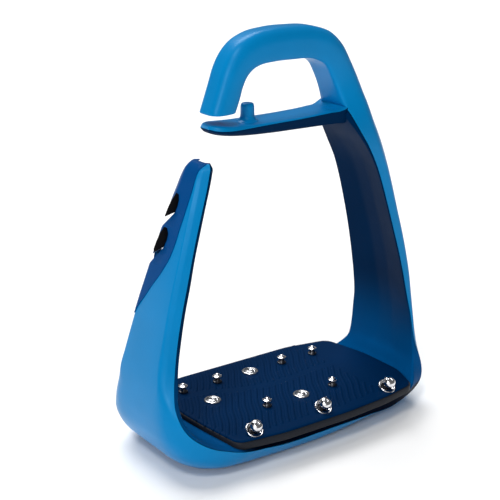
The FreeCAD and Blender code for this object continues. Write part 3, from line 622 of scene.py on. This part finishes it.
def build_liner():
    rows = [branch_liner_row(row) for row in reversed(BRANCH_ROWS)] + list(LINER_ROWS)
    stations = [liner_ring(row) for row in rows]
    setbacks = [[0.2, row[9], row[10], row[10], row[9], 0.2, 0.3, 0.3] for row in rows]
    rings, part = loft_rings(stations, setbacks, 460, len(BRANCH_ROWS), round_ends=(0.3, 0.0))
    liner = skin("inner_liner_skin", rings[part:])
    finish_piece(liner, FRAME_BODY, NAVY, "navy_liner", "inner_liner")
    branch = skin("outer_branch_liner_skin", rings[:part + 1])
    cut_notches(branch)
    finish_piece(branch, None, NAVY, "navy_branch_liner", "outer_branch_liner")
    blend_root(branch)


def blend_root(piece):
    """Bakes a piece's placement into its mesh."""
    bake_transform(piece)


# --------------------------------------------------------------------- tip cover

# The light body shows below this line across the outer face: height, y.  The rows from 63.3
# to 116.5 were read off the photo through a fitted camera and some were lightly adjusted.
COVER_EDGE = (
    (60.2, 12.2),
    (63.3, 10.7),
    (66.8, 8.3),
    (73.3, 4.1),
    (80.2, -0.5),
    (86.2, -3.4),
    (91.9, -4.6),
    (97.5, -5.1),
    (101.6, -5.7),
    (107.2, -6.2),
    (111.9, -6.4),
    (116.5, -6.2),
    (119.2, -6.1),
    (120.8, -6.2),
    (121.8, -6.4),
)


def row_at(z, rows):
    """A row of a station table read at a height between its stations."""
    table = np.array(rows, float)
    return [float(np.interp(z, table[:, 0], table[:, col])) for col in range(table.shape[1])]


COVER_PROUD = 0.4
COVER_DEPTH = 1.3
# The cover thickens by this much over the last stretch of the tip.
COVER_TIP_DEPTH = 0.6
TIP_START = 119.8
TIP_LENGTH = 1.8


def outer_profile(z):
    """The branch's outer surface from its toe side round to its heel side: y and x."""
    row = row_at(z, BRANCH_ROWS)
    _, ox, toe, heel, cx, yc, bx, yb = row[:8]
    ys = [-yb, -yc, -toe, heel, facet_heel(heel, yb, z), yb * heel_share(z)]
    return ys, [bx, cx, ox, ox, cx, bx]


def cover_corners(z, edge):
    """A section of the cover, from its edge on the outer face round the heel side."""
    ys, xs = outer_profile(z)
    climb = min(1.0, max(0.0, (z - TIP_START) / TIP_LENGTH))
    depth = COVER_DEPTH + COVER_TIP_DEPTH * climb
    outer_y = [edge] + [max(y, edge + 0.2 * step) for step, y in enumerate(ys[2:], start=1)]
    outer_x = np.interp(outer_y, ys, xs)
    outer = []
    inner = []
    for step, (x, y) in enumerate(zip(outer_x, outer_y)):
        on_heel = step > 2
        outer.append((x - COVER_PROUD, y + (COVER_PROUD if on_heel else 0.0), z))
        inner.append((x + depth, y - (depth * 0.7 if on_heel else 0.0), z))
    return outer + inner[::-1]


NOTCH_OUTWARD = 9.0
NOTCH_INWARD = 14.0
NOTCH_RISE = 0.35
NOTCH_REACH = 1.8


def notch_cutter(face, apex, lower, upper):
    """A wedge through the branch from its heel side that opens wider inwards.

    Its corners are given as (y, z) where it meets the outer face at x = face.
    """
    def extend(end):
        away = (end[0] - apex[0], end[1] - apex[1])
        return apex[0] + away[0] * NOTCH_REACH, apex[1] + away[1] * NOTCH_REACH

    vertices = []
    for x in (face - NOTCH_OUTWARD, face, face + NOTCH_INWARD):
        lift = max(0.0, x - face) * NOTCH_RISE
        for (y, z), rises in ((apex, True), (extend(upper), True), (extend(lower), False)):
            vertices.append((x, y, z + (lift if rises else 0.0)))
    faces = [(2, 1, 0), (6, 7, 8)]
    for first in (0, 3):
        for step in range(3):
            here = first + step
            there = first + (step + 1) % 3
            faces.append((here, there, there + 3, here + 3))
    return make_object("notch_cutter", vertices, faces)


NOTCHES = (
    (-49.0, (0.4, 102.9), (8.6, 94.4), (6.3, 100.0)),
    (-53.2, (2.0, 89.2), (9.7, 80.4), (7.4, 85.9)),
)


def cut_notches(piece):
    """Takes both gill notches out of a piece for good."""
    for notch in NOTCHES:
        cutter = notch_cutter(*notch)
        step = piece.modifiers.new("notch", "BOOLEAN")
        step.operation = "DIFFERENCE"
        step.solver = "EXACT"
        step.object = cutter
        bpy.context.view_layer.update()
        graph = bpy.context.evaluated_depsgraph_get()
        cut_mesh = bpy.data.meshes.new_from_object(piece.evaluated_get(graph))
        piece.modifiers.clear()
        piece.data = cut_mesh
        bpy.data.objects.remove(cutter)


def build_gill(name, node, outline):
    """A black lens let into the cover, standing slightly proud of it."""
    middle_y = sum(y for y, z in outline) / len(outline)
    middle_z = sum(z for y, z in outline) / len(outline)
    rings = []
    for proud, share in ((-2.6, 0.96), (0.35, 1.0), (0.62, 0.86), (0.68, 0.6)):
        ring = []
        for y, z in outline:
            yy = middle_y + (y - middle_y) * share
            zz = middle_z + (z - middle_z) * share
            ys, xs = outer_profile(zz)
            ring.append((np.interp(yy, ys, xs) - proud - COVER_PROUD, yy, zz))
        rings.append(np.array(ring))
    gill = skin(name, rings)
    cut_notches(gill)
    finish_piece(gill, BRANCH_BODY, GILL_BLACK, "black_rubber", node)


GILLS = (
    ("upper_gill_lens", "upper_gill_insert",
     ((2.6, 109.9), (1.0, 109.6), (-0.1, 107.6), (-0.2, 105.2), (0.4, 102.9),
      (3.6, 101.2), (6.3, 99.9), (6.6, 101.0), (5.6, 104.0), (4.2, 107.2))),
    ("lower_gill_lens", "lower_gill_insert",
     ((4.9, 96.3), (3.0, 96.2), (1.4, 94.4), (1.2, 92.0), (2.0, 89.4),
      (4.8, 87.4), (7.4, 85.7), (8.2, 87.0), (7.6, 90.2), (6.6, 93.6))),
)


def build_cover():
    stations = [cover_corners(z, edge) for z, edge in COVER_EDGE]
    soft = [[0.25, 0.6, 0.8, 1.0, 0.4, 0.3, 0.3, 0.3, 0.3, 0.2]] * len(COVER_EDGE)
    rings, _ = loft_rings(stations, soft, 120, 0, steps=5, round_ends=(0.0, 0.5))
    cover = skin("tip_cover_skin", rings)
    cut_notches(cover)
    finish_piece(cover, BRANCH_BODY, DEEP_BLUE, "deep_blue_cover", "outer_branch_tip_cover")
    for name, node, outline in GILLS:
        build_gill(name, node, outline)


# -------------------------------------------------------------------------- gate

# Stations along the gate from its root to its nose: x, top z, underside z, half width and
# how far below the top its light upper skin ends.
GATE_ROWS = (
    (33.6, 138.6, 129.0, 8.6, 0.5),
    (31.0, 138.0, 129.1, 9.2, 0.5),
    (29.2, 136.8, 129.2, 9.8, 0.5),
    (27.4, 136.1, 129.3, 9.5, 0.5),
    (21.0, 135.6, 129.4, 8.7, 0.5),
    (8.0, 135.1, 129.6, 8.5, 0.6),
    (-8.0, 135.0, 129.9, 8.5, 0.8),
    (-20.0, 135.1, 130.5, 8.5, 1.2),
    (-26.0, 135.4, 131.1, 8.5, 1.6),
    (-29.6, 135.7, 131.6, 7.8, 1.8),
    (-32.0, 135.8, 132.1, 6.4, 1.8),
    (-33.4, 135.8, 132.6, 4.8, 1.6),
    (-34.2, 135.6, 133.2, 3.2, 1.2),
)
POST_X = -14.2


def build_gate():
    upper = []
    lower = []
    for x, top, under, half, drop in GATE_ROWS:
        seam = top - drop
        upper.append(mirrored([
            (x, -half * 0.45, top),
            (x, -half + min(1.2, half * 0.25), top - 0.1),
            (x, -half, seam),
        ]))
        lower.append(mirrored([
            (x, -half * 0.5, under),
            (x, -half + min(1.6, half * 0.3), under + 0.4),
            (x, -half, seam - 0.6),
            (x, -half, seam),
        ]))
    soft = [[1.5, 1.0, 0.2, 0.2, 1.0, 1.5]] * len(upper)
    top_piece = loft("gate_top_skin", upper, soft, 90, steps=5, round_ends=(0.0, 0.4))
    finish_piece(top_piece, GATE_BODY, LIGHT_BLUE, "blue_gate", "leather_gate")
    # The navy underside is partly the navy liner polymer carried up under the gate, and partly
    # painted shade on the gate's front and underside.
    soft = [[1.5, 1.5, 0.5, 0.1, 0.1, 0.5, 1.5, 1.5]] * len(lower)
    under_piece = loft("gate_under_skin", lower, soft, 90, steps=5, round_ends=(0.0, 0.3))
    finish_piece(under_piece, GATE_BODY, NAVY, "blue_gate")
    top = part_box("leather_gate")[1].z / MM
    profile = [
        (5.2, 134.6), (4.5, 135.15), (3.5, 135.7), (2.95, 136.6), (2.8, 137.8),
        (2.75, top - 1.0), (2.3, top), (0.5, top),
    ]
    post = lathe("gate_post_skin", soften(profile, 0.7))
    post.location = (POST_X * MM, 0, 0)
    finish_piece(post, GATE_BODY, LIGHT_BLUE, "blue_gate")


# ------------------------------------------------------------------------- tread

PLATE_OUTLINE = (
    (-41.5, -31.4),
    (-20.0, -34.7),
    (14.0, -35.1),
    (36.0, -33.4),
    (53.8, -29.9),
    (59.4, -15.0),
    (59.4, 8.0),
    (55.0, 30.8),
    (34.0, 35.4),
    (-30.0, 35.4),
    (-41.5, 28.5),
    (-45.0, 6.0),
    (-44.0, -10.0),
)
PLATE_MIDDLE = np.array((7.0, -1.5))
TREAD_TOP = 14.5


def plate_ring(inset, z, corner=4.0):
    """The plate's outline drawn in by a distance, at a height."""
    corners = []
    for point in PLATE_OUTLINE:
        arm = np.array(point) - PLATE_MIDDLE
        corners.append(PLATE_MIDDLE + arm * (1 - inset / np.linalg.norm(arm)))
    ring = round_corners(np.array(corners), [corner] * len(corners), 8)
    return np.column_stack([ring, np.full(len(ring), z)])


STUD_PITCH = 17.8
GRID_MIDDLE = 2.2
HEEL_ROW = 21.0
MIDDLE_ROW = -11.3
SMALL_STUDS = [(GRID_MIDDLE + step * STUD_PITCH, HEEL_ROW) for step in (-2, -1, 1, 2)]
SMALL_STUDS += [(GRID_MIDDLE + 3.5 + side * STUD_PITCH, MIDDLE_ROW) for side in (-1, 1)]
TOE_STUDS = [(GRID_MIDDLE + 2.3 + step * 2 * STUD_PITCH, -27.8) for step in (-1, 0, 1)]
SCREWS = [
    (GRID_MIDDLE - 1.7 * STUD_PITCH, 6.2),
    (GRID_MIDDLE, HEEL_ROW),
    (GRID_MIDDLE + 4.0, MIDDLE_ROW),
]
TOE_TILT = math.radians(30)


def build_tread():
    side = [(1.0, 10.0), (0.35, 10.15), (0.0, 10.6), (0.0, 12.9), (0.25, 13.2), (1.4, 13.35)]
    carrier = skin("tread_carrier_skin", [plate_ring(inset, z) for inset, z in side])
    finish_piece(carrier, FRAME_BODY, GREY, "grey_carrier", "tread_carrier")
    side = [(0.9, 13.25), (0.55, 13.4), (0.75, 13.75), (1.3, 14.0), (2.3, 14.12), (3.6, 14.15)]
    base = skin("tread_grip_skin", [plate_ring(inset, z) for inset, z in side])
    ribs = build_ribs()
    join([base, ribs])
    finish_piece(base, FRAME_BODY, GRIP_NAVY, "navy_grip", "tread_grip_pad")


def join(pieces):
    """Adds the later pieces' meshes to the first one."""
    merged = bmesh.new()
    for piece in pieces:
        merged.from_mesh(piece.data)
    merged.to_mesh(pieces[0].data)
    merged.free()
    pieces[0].data.shade_smooth()
    pieces[0].data.set_sharp_from_angle(angle=math.radians(40))
    for piece in pieces[1:]:
        bpy.data.objects.remove(piece)


def outline_span(x):
    """The plate's y range at an x."""
    crossings = []
    for a, b in zip(PLATE_OUTLINE, PLATE_OUTLINE[1:] + PLATE_OUTLINE[:1]):
        if (a[0] - x) * (b[0] - x) < 0:
            crossings.append(a[1] + (b[1] - a[1]) * (x - a[0]) / (b[0] - a[0]))
    return min(crossings), max(crossings)


def middle_groove(x):
    """The smooth line between the two bands of ribs."""
    return float(np.interp(x, (-40.0, -26.0, -16.0, -6.0, 4.0, 16.0, 30.0, 44.0),
                           (17.5, 15.5, 10.0, 7.0, 5.0, 6.0, 7.6, 7.2)))


RIB_PITCH = 3.3
RIB_SLANT = 0.60
RIB_WAVE = 0.35
RIB_STEP = 1.0
RIB_LIMITS = (-43.5, 37.5)
# How far the ribs keep from the middle of a small stud, a screw and a toe stud.
STUD_CLEAR = 2.9
SCREW_CLEAR = 4.9
TOE_STUD_CLEAR = 5.2
RIB_SECTION = (
    (-1.2, 13.9), (-0.95, 14.3), (-0.65, TREAD_TOP),
    (0.65, TREAD_TOP), (0.95, 14.3), (1.2, 13.9),
)
RIB_END_TOP = 13.95


def rib_may_run(x, y):
    """Whether a rib may pass a point: on the pad, off its edge, the groove and the studs."""
    if not RIB_LIMITS[0] < x < RIB_LIMITS[1]:
        return False
    low, high = outline_span(x)
    if not low + 5.0 < y < high - 0.8 or abs(y - middle_groove(x)) < 0.8:
        return False
    keep_off = [(at, STUD_CLEAR) for at in SMALL_STUDS]
    keep_off += [(at, SCREW_CLEAR) for at in SCREWS]
    keep_off += [(at, TOE_STUD_CLEAR) for at in TOE_STUDS]
    return all(math.hypot(x - cx, y - cy) > reach for (cx, cy), reach in keep_off)


def build_ribs():
    """Low wavy ribs slanting across the tread, in two bands."""
    vertices = []
    faces = []
    for start in np.arange(-66.0, 66.0, RIB_PITCH):
        run = []
        for y in np.arange(-36.0, 37.0, RIB_STEP):
            x = start + RIB_SLANT * y + RIB_WAVE * math.sin(y / 3.2)
            if rib_may_run(x, y):
                run.append((x, y))
                continue
            if len(run) > 2:
                add_rib(vertices, faces, run)
            run = []
        if len(run) > 2:
            add_rib(vertices, faces, run)
    return make_object("ribs", vertices, faces, sharp_angle=25.0)


def add_rib(vertices, faces, run):
    """One rib with sloping sides and ends along its run of points."""
    base = len(vertices)
    size = len(RIB_SECTION)
    for number, (x, y) in enumerate(run):
        at_end = number in (0, len(run) - 1)
        for across, z in RIB_SECTION:
            vertices.append((x + across, y, min(z, RIB_END_TOP) if at_end else z))
    for row in range(len(run) - 1):
        for col in range(size):
            a = base + row * size + col
            b = base + row * size + (col + 1) % size
            faces.append((a, b, b + size, a + size))
    last = base + (len(run) - 1) * size
    faces.append(tuple(base + col for col in range(size))[::-1])
    faces.append(tuple(last + col for col in range(size)))


# ---------------------------------------------------------------- studs and screws

def stand(piece, centre, z, tilt=0.0):
    """Stands a turned piece on the tread, leaning towards the toe by an angle."""
    place = Matrix.Translation((centre[0] * MM, centre[1] * MM, z * MM))
    piece.data.transform(place @ Matrix.Rotation(tilt, 4, "X"))


def build_studs():
    crown = [
        (2.0, -0.4), (2.0, 0.15), (1.5, 0.3), (1.2, 1.3), (1.25, 1.6), (1.75, 1.95), (2.0, 2.15),
        (2.0, 2.5), (1.5, 2.75), (1.0, 2.85), (0.85, 3.4), (0.55, 3.62), (0.05, 3.7),
    ]
    for number, centre in enumerate(SMALL_STUDS, start=1):
        stud = lathe("tread_stud_%d_skin" % number, soften(crown, 0.18))
        stand(stud, centre, TREAD_TOP)
        finish_piece(stud, FRAME_BODY, POLISHED, "bright_stud", "tread_stud_%d" % number)
        # Painted shade on the neck under the small stud's head.
        paint_stud_shade(stud, centre, 0.0, lambda radius, height: height < 1.5)

    head = [
        (1.5, -1.0), (1.5, 2.4), (1.7, 2.75), (2.45, 3.05), (2.7, 3.4), (2.7, 4.3), (2.45, 5.0),
        (1.9, 5.6), (1.1, 5.95), (0.6, 6.0), (0.5, 5.5), (0.05, 5.45),
    ]
    cup = [
        (1.6, 0.45), (1.9, 0.35), (2.5, 0.4), (3.0, 0.75), (3.15, 1.4), (3.4, 1.6), (3.7, 1.5),
        (3.85, 1.1), (3.8, 0.4), (3.4, 0.0), (1.6, 0.0), (1.6, 0.3),
    ]
    for number, centre in enumerate(TOE_STUDS, start=1):
        stud = lathe("toe_stud_%d_skin" % number, soften(head, 0.3))
        stand(stud, centre, TREAD_TOP, TOE_TILT)
        finish_piece(stud, FRAME_BODY, POLISHED, "bright_stud", "toe_stud_%d" % number)
        # Painted shade on the shank under the toe stud's head.
        paint_stud_shade(stud, centre, TOE_TILT, lambda radius, height: height < 2.6)
        washer = open_lathe("toe_stud_washer_%d_skin" % number, soften(cup, 0.15))
        stand(washer, centre, TREAD_TOP, TOE_TILT)
        finish_piece(
            washer, FRAME_BODY, POLISHED, "bright_washer", "toe_stud_washer_%d" % number)
        # Painted shade inside the washer's cup, round the stud.
        paint_stud_shade(washer, centre, TOE_TILT, lambda radius, height: radius < 2.6 and height > 0.3)


def open_lathe(name, profile, segments=48):
    """A turned ring: its profile closes on itself, off the axis."""
    vertices = []
    faces = []
    count = len(profile)
    for radius, height in profile:
        for step in range(segments):
            angle = 2 * math.pi * step / segments
            vertices.append((radius * math.cos(angle), radius * math.sin(angle), height))
    for row in range(count):
        for step in range(segments):
            nxt = (step + 1) % segments
            a, b = row * segments + step, row * segments + nxt
            c, d = (row + 1) % count * segments + nxt, (row + 1) % count * segments + step
            faces.append((a, b, c, d))
    return make_object(name, vertices, faces, sharp_angle=50.0)


def paint_stud_shade(piece, centre, tilt, chosen):
    """Paints shade, as a dark steel, on the faces chosen by their radius and height."""
    piece.data.materials.append(STUD_SHADE_PAINT)
    place = Matrix.Translation((centre[0] * MM, centre[1] * MM, TREAD_TOP * MM))
    back = (place @ Matrix.Rotation(tilt, 4, "X")).inverted()
    for face in piece.data.polygons:
        at = back @ face.center / MM
        if chosen(math.hypot(at.x, at.y), at.z):
            face.material_index = 1


def build_screws():
    head = [
        (3.7, -1.0), (3.7, 0.1), (3.45, 0.4), (2.75, 0.5), (2.5, 0.12), (2.1, 0.08), (1.9, 0.4),
        (1.35, 0.6), (0.9, 0.55), (0.75, 0.2), (0.65, -0.6), (0.05, -0.7),
    ]
    for number, centre in enumerate(SCREWS, start=1):
        screw = lathe("tread_screw_%d_skin" % number, soften(head, 0.12))
        stand(screw, centre, TREAD_TOP)
        finish_piece(screw, FRAME_BODY, STAINLESS, "bright_screw", "tread_screw_%d" % number)


def paint_hidden():
    """The pieces inside the body keep their CAD shapes."""
    for name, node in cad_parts.items():
        material = None
        if name == "spring_steel_core":
            material = SPRING_STEEL
        if name.startswith("threaded_insert"):
            material = BRASS
        if material:
            node.data.materials.clear()
            node.data.materials.append(material)


# ------------------------------------------------------------- floor, light, camera

def build_stage():
    size = 6.0
    mesh = bpy.data.meshes.new("floor")
    corners = [(-size, -size, 0), (size, -size, 0), (size, size, 0), (-size, size, 0)]
    mesh.from_pydata(corners, [], [(0, 1, 2, 3)])
    floor = bpy.data.objects.new("floor", mesh)
    floor.location.z = -0.0002
    bpy.context.scene.collection.objects.link(floor)
    material = bpy.data.materials.new("pale_floor")
    material.use_nodes = True
    shader = material.node_tree.nodes["Principled BSDF"]
    shader.inputs["Base Color"].default_value = (0.93, 0.93, 0.93, 1)
    shader.inputs["Roughness"].default_value = 0.7
    floor.data.materials.append(material)


def add_sun(name, towards, strength, spread):
    """A distant soft lamp that shines from a direction; spread is its width in degrees."""
    data = bpy.data.lights.new(name, "SUN")
    data.energy = strength
    data.angle = math.radians(spread)
    sun = bpy.data.objects.new(name, data)
    sun.rotation_euler = Vector(towards).to_track_quat("Z", "Y").to_euler()
    bpy.context.scene.collection.objects.link(sun)


def build_light():
    world = bpy.data.worlds.new("studio")
    world.use_nodes = True
    world.node_tree.nodes["Background"].inputs["Color"].default_value = (1, 1, 1, 1)
    world.node_tree.nodes["Background"].inputs["Strength"].default_value = 0.14
    bpy.context.scene.world = world
    add_sun("key", (-0.48, -0.30, 0.82), 0.9, 14.0)
    add_sun("side", (-0.80, -0.45, 0.38), 0.7, 14.0)
    add_sun("top", (0.10, 0.52, 1.0), 2.8, 44.0)
    add_sun("front", (-0.65, -0.65, 0.50), 0.6, 50.0)


def build_camera():
    data = bpy.data.cameras.new("camera")
    data.sensor_width = 36.0
    data.lens = 86.4
    camera = bpy.data.objects.new("camera", data)
    place = Vector((-286.4, -380.6, 237.1)) * MM
    target = Vector((-16.15, -4.5, 82.44)) * MM
    camera.location = place
    camera.rotation_euler = (target - place).to_track_quat("-Z", "Y").to_euler()
    bpy.context.scene.collection.objects.link(camera)
    bpy.context.scene.camera = camera


build_light_body()
build_liner()
build_cover()
build_gate()
build_tread()
build_studs()
build_screws()
paint_hidden()
build_stage()
build_light()
build_camera()
bpy.context.scene.view_settings.view_transform = "Standard"
